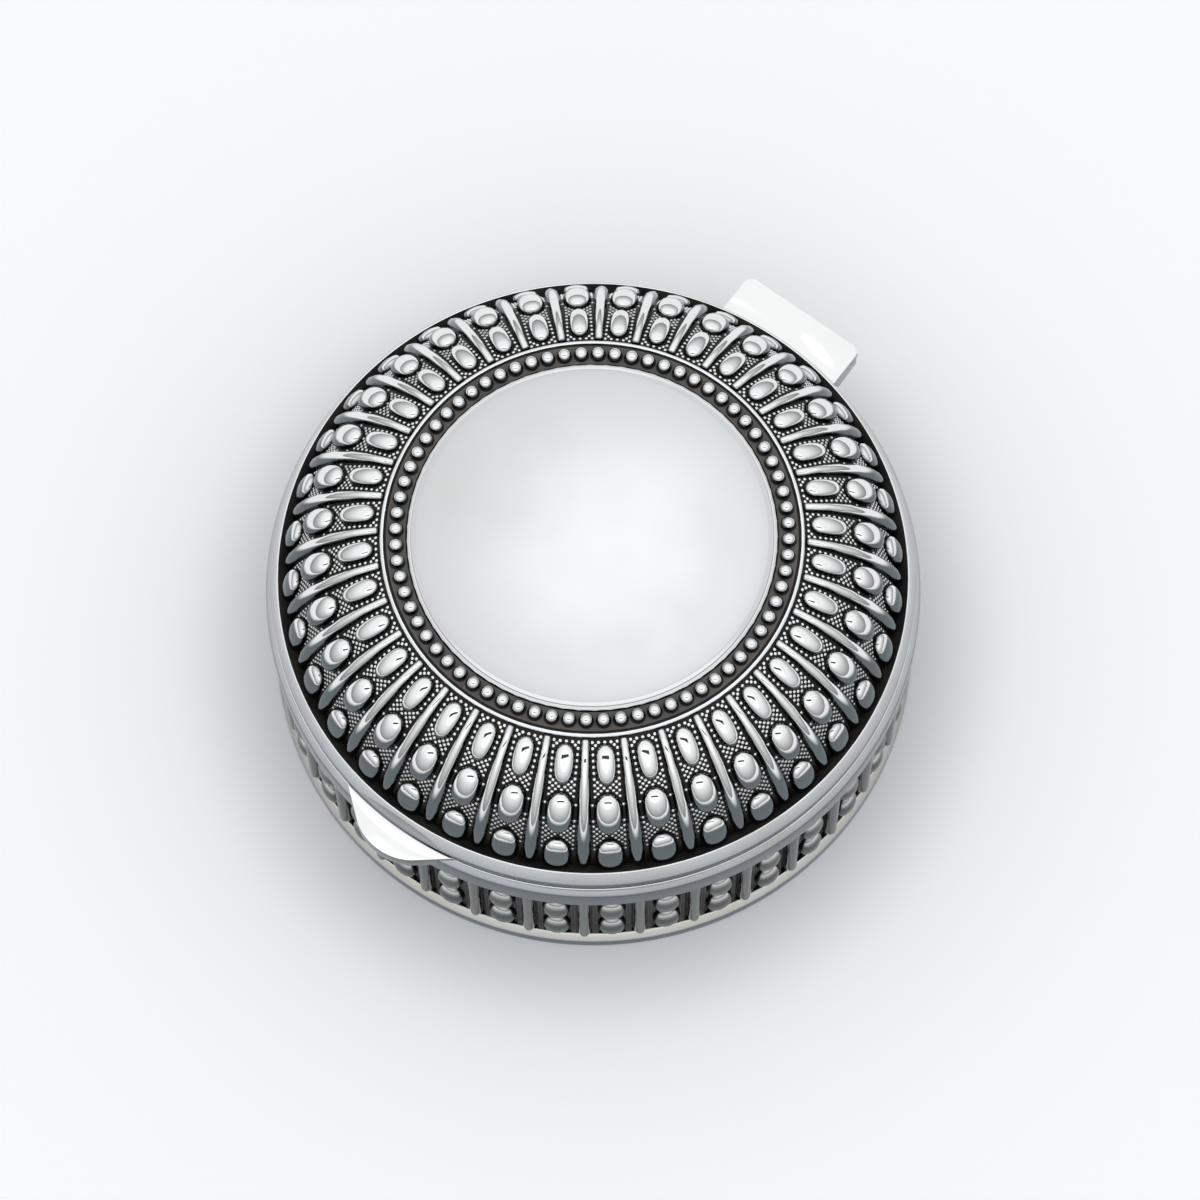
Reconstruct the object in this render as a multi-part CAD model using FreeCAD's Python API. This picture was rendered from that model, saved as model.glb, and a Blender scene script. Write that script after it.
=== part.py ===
import FreeCAD, Part
import math
import os

# Round silver-plated keepsake box with a hinged lid, in millimetres.
# The origin is on the box's axis, in the plane that it stands on. The thumb tab
# faces -Y and the hinge is at +Y. Shares are fractions of the size that they follow.

Vector = FreeCAD.Vector

# Body: an embossed wall between a base ring and a rim
wall_diameter = 97.8
wall_thickness = 1.0
base_ring_height = 2.9
base_projection = 1.9
base_bevel_width = 0.9
base_bevel_height = 0.6
base_ledge_width = 1.7
floor_thickness = 0.8
body_height = 27.0
rim_height = 5.6
rim_projection = 1.85
rim_shoulder_height = 1.2
rim_lip_thickness = 0.8
rim_lip_overlap = 1.4

# Lid: an embossed dome between a rim and a flat top with a beaded border
seam_gap = 0.2
lid_setback = 0.95
lid_rim_height = 4.1
lid_rim_draft = 0.4
lid_rim_crown_width = 0.75
lid_rim_crown_height = 0.75
lid_rim_shelf_width = 1.7
lid_rim_shelf_drop = 1.2
lid_ledge_height = 2.3
lid_ledge_width = 0.3
dome_sheet = 0.9
dome_rise = 15.8
dome_bulge = 2.85
top_radius = 32.1
top_step = 0.2
top_edge_run = 0.1
plate_thickness = 0.5
plate_seat_width = 1.6
bead_diameter = 2.1
bead_height = 1.8
bead_strip_width = 3.0
bead_strip_thickness = 0.25
bead_border = 0.8
bead_gap = 0.1

# Embossed ornament: columns of ovals between ribs, and one bead to each of both
columns = 36
beads = 2 * columns
oval_height = 1.3
rib_height = 1.05
rib_inner_width = 1.1
rib_middle_width = 1.5
rib_widest = 1.9
rib_end_width = 1.5
rib_tip_width = 0.45
wall_rib_width = 1.65
wall_rib_margin = 0.08
dome_oval_sides = 8
wall_oval_sides = 6
bead_sides = 6
oval_shoulder_share = 0.72
oval_shoulder_height_share = 0.7
dome_break_shares = (0, 0.34, 0.69, 1)
dome_oval_place_shares = (0.52, 0.48, 0.56)
dome_oval_length_shares = (0.78, 0.78, 0.8)
dome_oval_width_shares = (0.49, 0.51, 0.47)
dome_rib_shares = (0.015, 0.34, 0.69, 0.88, 0.965)
dome_rib_height_shares = (1, 1, 1, 0.9, 0.35)
wall_oval_place_shares = (0.2, 0.63)
wall_oval_length_share = 0.37
wall_oval_width_share = 0.4
wall_rib_shares = (0, 0.06, 1)
wall_rib_end_shares = (0.35, 1, 1)

# Thumb tab
tab_reach = 4.8
tab_nose_radius = 8.7
tab_flank_angle = 39
tab_thickness = 0.8

# Hinge
hinge_plate_width = 21.6
hinge_plate_reach = 6.1
hinge_plate_thickness = 0.9
hinge_plate_corner = 1.5
knuckle_diameter = 3.0
knuckle_web = 1.8
knuckle_margin = 0.4
lid_knuckle_width = 8.4
knuckle_end_gap = 0.2
knuckle_turning_gap = 0.12
pin_diameter = 1.4
pin_running_gap = 0.04
bracket_foot = 0.5
bracket_nose_height = 3.0
open_angle = 100
stop_gap = 0.05

# Lining
solder_film = 0.04
lining_gap = 0.1
wall_lining_thickness = 1.3
floor_card_thickness = 1.2
floor_pad_thickness = 1.6
lid_card_thickness = 1.2
lid_pad_thickness = 1.4
pad_margin = 0.5
pad_crown = 0.8
pad_side_share = 0.55
pad_shoulder_share = 0.93
felt_margin = 0.3

# One overrun serves all cuts, and points closer than touch are one point
overrun = 5.0
touch = 1e-6

# Places worked out from the sizes above. A faceted ring's radius is the one at its corners.
half_sector = math.pi / columns
flat_share = math.cos(half_sector)
wall_radius = wall_diameter / 2 / flat_share
wall_inner_radius = wall_radius - wall_thickness
base_radius = wall_diameter / 2 + base_projection
base_inner_radius = wall_inner_radius * flat_share - base_ledge_width
floor_top = base_ring_height + floor_thickness
rim_radius = wall_diameter / 2 + rim_projection
rim_bottom = body_height - rim_height
lip_bottom = body_height - rim_lip_thickness
lid_radius = rim_radius - lid_setback
lid_bottom = body_height + seam_gap
lid_rim_top = lid_bottom + lid_rim_height
ledge_top = lid_bottom + lid_ledge_height
crown_radius = lid_radius - lid_rim_draft - lid_rim_crown_width
shelf_top = lid_rim_top - lid_rim_shelf_drop
dome_seat_radius = crown_radius - lid_rim_shelf_width
dome_radius = dome_seat_radius - solder_film
dome_inner_radius = dome_radius - dome_sheet
dome_top = shelf_top + dome_rise
top_height = dome_top + top_step
bead_outer_radius = top_radius * flat_share - bead_border
bead_inner_radius = bead_outer_radius - bead_strip_width
plate_radius = bead_inner_radius - bead_gap
hinge_place = lid_radius + hinge_plate_reach - knuckle_diameter / 2
hinge_height = lid_bottom - knuckle_turning_gap - knuckle_diameter / 2
bracket_half_width = hinge_plate_width / 2 - knuckle_margin
lining_radius = wall_inner_radius - lining_gap
lining_inner_radius = lining_radius - wall_lining_thickness


def polar(radius, angle, height):
    """Point at a radius and angle about the box's axis."""
    return Vector(radius * math.cos(angle), radius * math.sin(angle), height)


def blend(start, end, share):
    """Point at a share of the way between two points of a section."""
    return tuple(a + (b - a) * share for a, b in zip(start, end))


def flat_face(points):
    """Flat face inside a closed outline."""
    return Part.Face(Part.makePolygon(list(points) + [points[0]]))


def solid_of(faces):
    """Closed solid of faces that meet edge to edge."""
    shell = Part.makeShell(faces)
    shell.sewShape()
    solid = Part.makeSolid(shell)
    if solid.Volume < 0:
        solid.reverse()
    return solid


def drop_repeats(points):
    """Closed outline without the points that lie on the one before them."""
    return [
        point
        for index, point in enumerate(points)
        if point.distanceToPoint(points[index - 1]) > touch
    ]


def sector_of(outline, half_angle):
    """Wedge of a faceted ring, from its closed section of radii and heights."""
    left = [polar(radius, -half_angle, height) for radius, height in outline]
    right = [polar(radius, half_angle, height) for radius, height in outline]
    faces = [flat_face(left), flat_face(right)]
    for here in range(len(outline)):
        before = here - 1
        corners = drop_repeats([left[before], left[here], right[here], right[before]])
        if len(corners) > 2:
            faces.append(flat_face(corners))
    return solid_of(faces)


def lies_on_side(face, half_angle):
    """Whether a face lies in one of the two planes that part a sector from the next."""
    for angle in (-half_angle, half_angle):
        normal = Vector(-math.sin(angle), math.cos(angle), 0)
        if all(abs(vertex.Point.dot(normal)) < touch for vertex in face.Vertexes):
            return True
    return False


def faceted_ring(outline, count=columns, reliefs=()):
    """Ring of flat facets, each sector with the same reliefs fused to it."""
    half_angle = math.pi / count
    sector = sector_of(outline, half_angle)
    if reliefs:
        sector = sector.multiFuse(list(reliefs))
    faces = []
    for face in sector.Faces:
        if lies_on_side(face, half_angle):
            continue
        for index in range(count):
            copy = face.copy()
            copy.rotate(Vector(), Vector(0, 0, 1), 360 * index / count)
            faces.append(copy)
    return solid_of(faces)


def revolved(outline):
    """Round ring or disc, from its closed section of radii and heights."""
    section = flat_face([Vector(radius, 0, height) for radius, height in outline])
    return section.revolve(Vector(), Vector(0, 0, 1), 360)


def boss(place, along, outward, length, width, height, sides):
    """Faceted oval boss that stands on a flat place."""
    across = outward.cross(along)

    def ring(share, level):
        points = []
        for index in range(sides):
            angle = 2 * math.pi * index / sides
            run = along * (share * length / 2 * math.cos(angle))
            side = across * (share * width / 2 * math.sin(angle))
            points.append(place + run + side + outward * level)
        return points

    foot = ring(1, 0)
    shoulder = ring(oval_shoulder_share, height * oval_shoulder_height_share)
    peak = place + outward * height
    faces = [flat_face(foot)]
    for here in range(sides):
        before = here - 1
        faces.append(flat_face([foot[before], foot[here], shoulder[here], shoulder[before]]))
        faces.append(flat_face([shoulder[before], shoulder[here], peak]))
    return solid_of(faces)


def half_rib(stations, side):
    """Half of a rib, on one side plane of a sector.

    Each station holds a point of the sector's section, the section's outward
    direction there, and the rib's width and height.
    """
    angle = side * half_sector
    across = Vector(0, -side, 0)
    rings = []
    for (radius, level), (out, up), width, height in stations:
        foot = polar(radius, angle, level)
        crest = foot + polar(out, angle, up) * height
        rings.append([foot, crest, foot + across * (width / 2)])
    faces = [flat_face(rings[0]), flat_face(rings[-1])]
    for (foot, crest, edge), (next_foot, next_crest, next_edge) in zip(rings, rings[1:]):
        faces.append(flat_face([foot, crest, next_crest, next_foot]))
        faces.append(flat_face([foot, edge, next_edge, next_foot]))
        faces.append(flat_face([crest, edge, next_edge]))
        faces.append(flat_face([crest, next_edge, next_crest]))
    return solid_of(faces)


def rib_pair(stations):
    """The two half ribs that border a sector."""
    return [half_rib(stations, side) for side in (-1, 1)]


def dome_arc(share, inset=0):
    """Point of the dome's arched section and its outward direction there."""
    start = Vector(top_radius + top_edge_run, dome_top, 0)
    end = Vector(dome_radius, shelf_top, 0)
    chord = end - start
    half_chord = chord.Length / 2
    along = chord / chord.Length
    outward = Vector(-along.y, along.x, 0)
    arc_radius = (half_chord ** 2 + dome_bulge ** 2) / (2 * dome_bulge)
    turn = (2 * share - 1) * math.asin(half_chord / arc_radius)
    centre = (start + end) / 2 - outward * (arc_radius - dome_bulge)
    direction = outward * math.cos(turn) + along * math.sin(turn)
    point = centre + direction * (arc_radius - inset)
    return (point.x, point.y), (direction.x, direction.y)


def dome_corner(index, inset=0):
    """Corner of the dome's faceted section."""
    return dome_arc(dome_break_shares[index], inset)[0]


def dome_ovals():
    """The three ovals of one column, each in the middle of a facet."""
    ovals = []
    for index, place_share in enumerate(dome_oval_place_shares):
        start = dome_corner(index)
        end = dome_corner(index + 1)
        radius, level = blend(start, end, place_share)
        run = Vector((end[0] - start[0]) * flat_share, 0, end[1] - start[1])
        along = run / run.Length
        outward = Vector(-along.z, 0, along.x)
        pitch = 2 * radius * math.sin(half_sector)
        ovals.append(boss(
            Vector(radius * flat_share, 0, level),
            along,
            outward,
            run.Length * dome_oval_length_shares[index],
            pitch * dome_oval_width_shares[index],
            oval_height,
            dome_oval_sides,
        ))
    return ovals


def dome_rib_stations():
    """Stations of a dome rib, which widens outwards and ends in a point."""
    widths = (rib_inner_width, rib_middle_width, rib_widest, rib_end_width, rib_tip_width)
    stations = []
    for share, width, height_share in zip(dome_rib_shares, widths, dome_rib_height_shares):
        index = max(i for i, limit in enumerate(dome_break_shares[:-1]) if limit <= share)
        span = dome_break_shares[index + 1] - dome_break_shares[index]
        part_share = (share - dome_break_shares[index]) / span
        place = blend(dome_corner(index), dome_corner(index + 1), part_share)
        stations.append((place, dome_arc(share)[1], width, rib_height * height_share))
    return stations


def lid_dome():
    """Embossed dome with a flat top ring, which the plate and the beads lie on."""
    corners = range(len(dome_break_shares))
    seat_radius = plate_radius - plate_seat_width
    outline = [(seat_radius, top_height), (top_radius, top_height)]
    outline += [dome_corner(index) for index in corners]
    outline += [(dome_radius, ledge_top), (dome_inner_radius, ledge_top)]
    outline += [dome_corner(index, dome_sheet) for index in reversed(corners)]
    outline += [(seat_radius, dome_corner(0, dome_sheet)[1])]
    return faceted_ring(outline, reliefs=dome_ovals() + rib_pair(dome_rib_stations()))


def lid_plate():
    """Polished disc in the middle of the lid."""
    top = top_height + plate_thickness
    return revolved([
        (0, top_height),
        (plate_radius, top_height),
        (plate_radius, top),
        (0, top),
    ])


def lid_bead_ring():
    """Beaded wire round the polished disc, on a thin strip."""
    strip_top = top_height + bead_strip_thickness
    outline = [
        (bead_inner_radius, top_height),
        (bead_outer_radius, top_height),
        (bead_outer_radius, strip_top),
        (bead_inner_radius, strip_top),
    ]
    place = Vector((bead_inner_radius + bead_outer_radius) / 2, 0, strip_top)
    bead = boss(
        place,
        Vector(1, 0, 0),
        Vector(0, 0, 1),
        bead_diameter,
        bead_diameter,
        bead_height - bead_strip_thickness,
        bead_sides,
    )
    return faceted_ring(outline, beads, [bead])


def lid_rim():
    """Rim of the lid, with a shelf round the dome and a ledge that the dome stands on."""
    return revolved([
        (dome_inner_radius - lid_ledge_width, lid_bottom),
        (lid_radius, lid_bottom),
        (lid_radius - lid_rim_draft, lid_rim_top - lid_rim_crown_height),
        (crown_radius, lid_rim_top),
        (dome_seat_radius, shelf_top),
        (dome_seat_radius, ledge_top),
        (dome_inner_radius - lid_ledge_width, ledge_top),
    ])


def lid_seat():
    """Cutter as round as the lid's rim, for what is soldered to its outside."""
    place = Vector(0, 0, lid_bottom - overrun)
    return Part.makeCylinder(lid_radius + solder_film, lid_rim_height + 2 * overrun, place)


def thumb_tab():
    """Tab at the front with straight flanks and a round nose, to lift the lid by."""
    front = lid_radius + tab_reach
    flank = math.radians(tab_flank_angle)
    peak = front + tab_nose_radius / math.cos(flank) - tab_nose_radius
    root = lid_radius - overrun
    half_width = (peak - root) / math.tan(flank)
    blank = flat_face([
        Vector(-half_width, -root, lid_bottom),
        Vector(0, -peak, lid_bottom),
        Vector(half_width, -root, lid_bottom),
    ]).extrude(Vector(0, 0, tab_thickness))
    nose = [edge for edge in blank.Edges if all(abs(vertex.X) < touch for vertex in edge.Vertexes)]
    return blank.makeFillet(tab_nose_radius, nose).cut(lid_seat())


def lid_hinge_plate():
    """Flat plate behind the lid, which covers the hinge and is its stop."""
    rear = lid_radius + hinge_plate_reach
    place = Vector(-hinge_plate_width / 2, 0, lid_bottom)
    plate = Part.makeBox(hinge_plate_width, rear, hinge_plate_thickness, place)
    corners = [
        edge
        for edge in plate.Edges
        if all(abs(vertex.Y - rear) < touch for vertex in edge.Vertexes)
        and abs(edge.Vertexes[0].Z - edge.Vertexes[1].Z) > touch
    ]
    return plate.makeFillet(hinge_plate_corner, corners).cut(lid_seat())


def hinge_cylinder(diameter, start, end):
    """Cylinder on the hinge's axis between two places along it."""
    place = Vector(start, hinge_place, hinge_height)
    return Part.makeCylinder(diameter / 2, end - start, place, Vector(1, 0, 0))


def pin_hole():
    """Cutter for the hole that the hinge pin runs through."""
    reach = hinge_plate_width / 2 + overrun
    return hinge_cylinder(pin_diameter + 2 * pin_running_gap, -reach, reach)


def lid_knuckle():
    """Middle knuckle of the hinge, soldered under the lid's hinge plate by its web."""
    half_width = lid_knuckle_width / 2
    barrel = hinge_cylinder(knuckle_diameter, -half_width, half_width)
    place = Vector(-half_width, hinge_place - knuckle_web / 2, hinge_height)
    web = Part.makeBox(lid_knuckle_width, knuckle_web, lid_bottom - hinge_height, place)
    return barrel.fuse(web).removeSplitter().cut(pin_hole())


def body_knuckles():
    """The two outer knuckles of the hinge, which lie in the bracket's trough."""
    inner = lid_knuckle_width / 2 + knuckle_end_gap
    right = hinge_cylinder(knuckle_diameter, inner, bracket_half_width).cut(pin_hole())
    left = hinge_cylinder(knuckle_diameter, -bracket_half_width, -inner).cut(pin_hole())
    return Part.makeCompound([left, right])


def hinge_pin():
    """Pin through the three knuckles."""
    return hinge_cylinder(pin_diameter, -bracket_half_width, bracket_half_width)


def stop_place():
    """Distance behind the hinge's axis where the open lid's plate comes to its stop."""
    back = knuckle_diameter / 2
    above = lid_bottom - hinge_height
    turn = math.atan2(above, back) - math.radians(open_angle)
    return math.hypot(back, above) * math.cos(turn)


def hinge_bracket():
    """Bracket behind the body's rim, with a trough for the knuckles and a nose as stop."""
    front = rim_radius - overrun
    rear = hinge_place + stop_place() - stop_gap
    foot = rim_bottom + bracket_foot
    section = [
        (front, foot),
        (rim_radius, foot),
        (rear, hinge_height - bracket_nose_height),
        (rear, hinge_height),
        (front, hinge_height),
    ]
    points = [Vector(-bracket_half_width, place, level) for place, level in section]
    block = flat_face(points).extrude(Vector(2 * bracket_half_width, 0, 0))
    seat = Part.makeCylinder(rim_radius + solder_film, body_height, Vector())
    trough_reach = bracket_half_width + overrun
    trough = hinge_cylinder(knuckle_diameter + 2 * solder_film, -trough_reach, trough_reach)
    web_reach = math.hypot(knuckle_web / 2, lid_bottom - hinge_height)
    pocket_half_width = lid_knuckle_width / 2 + knuckle_end_gap
    pocket_diameter = 2 * (web_reach + knuckle_turning_gap)
    pocket = hinge_cylinder(pocket_diameter, -pocket_half_width, pocket_half_width)
    return block.cut(seat).cut(trough).cut(pocket)


def body_wall():
    """Embossed wall of the body."""
    foot = base_ring_height
    span = rim_bottom - foot
    ovals = [
        boss(
            Vector(wall_diameter / 2, 0, foot + span * share),
            Vector(0, 0, 1),
            Vector(1, 0, 0),
            span * wall_oval_length_share,
            2 * wall_radius * math.sin(half_sector) * wall_oval_width_share,
            oval_height,
            wall_oval_sides,
        )
        for share in wall_oval_place_shares
    ]
    start = (wall_radius, foot + wall_rib_margin)
    end = (wall_radius, rim_bottom - wall_rib_margin)
    stations = [
        (blend(start, end, share), (1, 0), wall_rib_width * end_share, rib_height * end_share)
        for share, end_share in zip(wall_rib_shares, wall_rib_end_shares)
    ]
    outline = [
        (wall_radius, foot),
        (wall_radius, lip_bottom),
        (wall_inner_radius, lip_bottom),
        (wall_inner_radius, foot),
    ]
    return faceted_ring(outline, reliefs=ovals + rib_pair(stations))


def body_rim():
    """Rim of the body, whose skirt goes round the wall and whose lip covers its edge."""
    lip_radius = wall_inner_radius * flat_share - rim_lip_overlap
    skirt_radius = wall_radius + solder_film
    return revolved([
        (lip_radius, lip_bottom),
        (skirt_radius, lip_bottom),
        (skirt_radius, rim_bottom),
        (rim_radius, rim_bottom),
        (rim_radius, body_height - rim_shoulder_height),
        (lid_radius, body_height),
        (lip_radius, body_height),
    ])


def base_ring():
    """Ring that the wall and the floor stand on, with a bevelled edge."""
    return revolved([
        (base_inner_radius, 0),
        (base_radius, 0),
        (base_radius, base_ring_height - base_bevel_height),
        (base_radius - base_bevel_width, base_ring_height),
        (base_inner_radius, base_ring_height),
    ])


def faceted_disc(radius, bottom, thickness):
    """Flat disc with the facets of the rings around it."""
    top = bottom + thickness
    return faceted_ring([(0, bottom), (radius, bottom), (radius, top), (0, top)])


def pad(radius, seat, thickness, sense):
    """Padded disc on a flat seat, crowned in the middle and drawn in at its foot."""
    return faceted_ring([
        (0, seat),
        (radius - pad_margin, seat),
        (radius, seat + sense * thickness * pad_side_share),
        (radius * pad_shoulder_share, seat + sense * thickness),
        (0, seat + sense * (thickness + pad_crown)),
    ])


def body_floor():
    """Metal floor of the body, on the base ring and inside the wall."""
    return faceted_disc(lining_radius, base_ring_height, floor_thickness)


def base_felt():
    """Felt that fills the underside within the base ring."""
    return faceted_disc(base_inner_radius - felt_margin, 0, base_ring_height)


def wall_lining():
    """Velvet-covered strip inside the wall, under the rim's lip."""
    top = lip_bottom - lining_gap
    return faceted_ring([
        (lining_radius, floor_top),
        (lining_radius, top),
        (lining_inner_radius, top),
        (lining_inner_radius, floor_top),
    ])


def floor_card():
    """Card under the floor's velvet pad."""
    return faceted_disc(lining_inner_radius - lining_gap, floor_top, floor_card_thickness)


def floor_pad():
    """Velvet pad on the floor."""
    seat = floor_top + floor_card_thickness
    return pad(lining_inner_radius - lining_gap, seat, floor_pad_thickness, 1)


def lid_card_place():
    """Radius and height at which the lid's card bears on the dome's inside."""
    radius, level = dome_corner(2, dome_sheet)
    return radius, level - lining_gap


def lid_card():
    """Card that closes the hollow of the lid's dome and carries its pad."""
    radius, top = lid_card_place()
    return faceted_disc(radius, top - lid_card_thickness, lid_card_thickness)


def lid_pad():
    """Velvet pad inside the lid, crowned downwards."""
    radius, top = lid_card_place()
    return pad(radius - pad_margin, top - lid_card_thickness, lid_pad_thickness, -1)


pieces = (
    base_ring,
    base_felt,
    body_floor,
    body_wall,
    body_rim,
    wall_lining,
    floor_card,
    floor_pad,
    hinge_bracket,
    body_knuckles,
    hinge_pin,
    lid_rim,
    lid_dome,
    lid_plate,
    lid_bead_ring,
    lid_card,
    lid_pad,
    thumb_tab,
    lid_hinge_plate,
    lid_knuckle,
)

os.makedirs("parts", exist_ok=True)
for piece in pieces:
    shape = piece()
    shape.exportStep(f"parts/{piece.__name__}.step")
    print(f"{piece.__name__}: {len(shape.Solids)} solid, {len(shape.Faces)} faces, {shape.Volume:.1f} mm3")
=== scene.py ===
"""Round silver-plated keepsake box: its dressed pieces, its finishes and the studio round it."""

import logging
import math
from collections.abc import Iterator, Sequence
from contextlib import contextmanager
from dataclasses import dataclass
from enum import Enum

import bpy
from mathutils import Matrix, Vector


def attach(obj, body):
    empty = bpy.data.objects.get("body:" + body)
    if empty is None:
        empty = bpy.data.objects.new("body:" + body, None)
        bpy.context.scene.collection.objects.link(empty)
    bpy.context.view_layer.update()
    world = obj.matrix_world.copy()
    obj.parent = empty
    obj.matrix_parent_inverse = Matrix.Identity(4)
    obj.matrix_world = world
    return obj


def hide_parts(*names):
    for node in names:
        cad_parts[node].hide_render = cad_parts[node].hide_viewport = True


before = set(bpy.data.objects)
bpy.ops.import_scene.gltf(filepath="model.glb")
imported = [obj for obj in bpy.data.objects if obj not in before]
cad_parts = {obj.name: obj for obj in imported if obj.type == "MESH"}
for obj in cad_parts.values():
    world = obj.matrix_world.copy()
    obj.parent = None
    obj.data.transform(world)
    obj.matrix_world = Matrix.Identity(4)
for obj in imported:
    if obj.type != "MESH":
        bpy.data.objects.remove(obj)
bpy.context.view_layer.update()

log = logging.getLogger("keepsake_box")

# Lengths are written in millimetres and become metres by this factor.
MM = 0.001
# Points nearer to each other than this are one point.
TOUCH = 1e-6
# The ornament repeats in this many columns round the box.
COLUMNS = 36
PITCH = 2 * math.pi / COLUMNS

Piece = bpy.types.Object
Tree = bpy.types.NodeTree
Node = bpy.types.Node
Socket = bpy.types.NodeSocket
Values = dict[str | int, object]
Pair = tuple[float, float]
Spot = tuple[float, float, float]
Colour = tuple[float, float, float, float]
Section = Sequence[Pair]
Corners = Sequence[Spot]


class Body(Enum):
    """The two bodies that the hinge joins."""

    BASE = "base"
    LID = "lid"


class Slot(Enum):
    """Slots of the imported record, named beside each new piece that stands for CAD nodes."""

    POLISHED = "silver_polished"
    OXIDISED = "silver_oxidised"
    VELVET = "velvet"
    FELT = "felt"


# Small helpers for nodes


def linear(colour: str) -> Colour:
    """Turns an sRGB hex colour to linear light.

    Args:
        colour: The colour as "#rrggbb".

    Returns:
        Red, green, blue and full alpha.
    """
    shares = [int(colour[place:place + 2], 16) / 255 for place in (1, 3, 5)]
    bent = [s / 12.92 if s <= 0.04045 else ((s + 0.055) / 1.055) ** 2.4 for s in shares]
    return (*bent, 1.0)


def plug(tree: Tree, node: Node, values: Values) -> None:
    """Gives a node's inputs their values and links.

    Args:
        tree: The tree that holds the node.
        node: The node.
        values: Value or source socket of each input, by its name or number.
    """
    for name, value in values.items():
        if isinstance(value, Socket):
            tree.links.new(value, node.inputs[name])
        else:
            node.inputs[name].default_value = value


def add_node(
    tree: Tree,
    kind: str,
    output: str,
    links: Values | None = None,
    stops: Sequence[tuple[float, str]] = (),
    **settings,
) -> Socket:
    """Adds a node with its settings, values and links.

    Args:
        tree: The tree that takes the node.
        kind: The node's type.
        output: The output that is used.
        links: Value or source socket of each input, by its name or number.
        stops: Place and hex colour of each stop, where the node has such stops.
        settings: Properties of the node.

    Returns:
        The output.
    """
    made = tree.nodes.new(kind)
    for name, value in settings.items():
        setattr(made, name, value)
    if stops:
        elements = made.color_ramp.elements
        while len(elements) < len(stops):
            elements.new(1.0)
        for element, (place, colour) in zip(elements, stops):
            element.position = place
            element.color = linear(colour)
    plug(tree, made, links or {})
    return made.outputs[output]


# Small helpers for pieces


def deselect() -> None:
    """Leaves nothing selected, so that the next operator acts on the new piece alone."""
    bpy.ops.object.select_all(action="DESELECT")


def activate(piece: Piece) -> None:
    """Selects one piece alone and makes it the active one.

    Args:
        piece: The piece.
    """
    deselect()
    piece.select_set(True)
    bpy.context.view_layer.objects.active = piece


def applied(piece: Piece, kind: str, **settings) -> None:
    """Shapes a piece by a modifier, which is applied at once.

    Args:
        piece: The piece.
        kind: The modifier's type.
        settings: Its properties.
    """
    activate(piece)
    shaper = piece.modifiers.new(kind.lower(), kind)
    for name, value in settings.items():
        setattr(shaper, name, value)
    bpy.ops.object.modifier_apply(modifier=shaper.name)


def reach_of(point: Vector) -> float:
    """Distance of a point from the box's axis, in millimetres."""
    return math.hypot(point.x, point.y) / MM


@contextmanager
def editing(piece: Piece) -> Iterator[None]:
    """Edit mode on one piece, with all of it selected at first.

    Args:
        piece: The piece to edit.
    """
    activate(piece)
    bpy.ops.object.mode_set(mode="EDIT")
    bpy.ops.mesh.select_all(action="SELECT")
    yield
    bpy.ops.object.mode_set(mode="OBJECT")


def named(name: str, stretch: Sequence[float] = (1, 1, 1)) -> Piece:
    """Names the primitive just added, stretches it and applies its place.

    Args:
        name: The piece's name.
        stretch: How far it is stretched along its own axes.

    Returns:
        The piece.
    """
    piece = bpy.context.object
    piece.name = name
    piece.data.name = name
    piece.scale = stretch
    bpy.ops.object.transform_apply(location=True, rotation=True, scale=True)
    return piece


def smooth(piece: Piece, angle: float = 40.0) -> None:
    """Shades a piece smooth, except at edges sharper than an angle in degrees."""
    activate(piece)
    bpy.ops.object.shade_smooth_by_angle(angle=math.radians(angle))


def joined(name: str, parts: Sequence[Piece]) -> Piece:
    """Joins parts into one piece.

    Args:
        name: The piece's name.
        parts: What to join, of which the first takes the others in.

    Returns:
        The piece.
    """
    deselect()
    for part in parts:
        part.select_set(True)
    bpy.context.view_layer.objects.active = parts[0]
    bpy.ops.object.join()
    parts[0].name = name
    parts[0].data.name = name
    return parts[0]


def softened(corners: Corners, steps: int = 5) -> list[Pair]:
    """Rounds the corners of a closed section.

    Args:
        corners: Radius, height and rounding of each corner.
        steps: Steps of each rounding.

    Returns:
        Radius and height of each point.
    """
    points: list[Pair] = []
    for index, (radius, height, rounding) in enumerate(corners):
        here = Vector((radius, height))
        before = (Vector(corners[index - 1][:2]) - here).normalized()
        after = (Vector(corners[(index + 1) % len(corners)][:2]) - here).normalized()
        if not rounding:
            points.append((radius, height))
            continue
        half = before.angle(after) / 2
        centre = here + (before + after).normalized() * (rounding / math.sin(half))
        start = here + before * (rounding / math.tan(half)) - centre
        end = here + after * (rounding / math.tan(half)) - centre
        turn = math.pi - 2 * half
        for step in range(steps + 1):
            share = step / steps
            spoke = start * math.sin((1 - share) * turn) + end * math.sin(share * turn)
            points.append(tuple(centre + spoke / math.sin(turn)))
    return points


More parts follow.
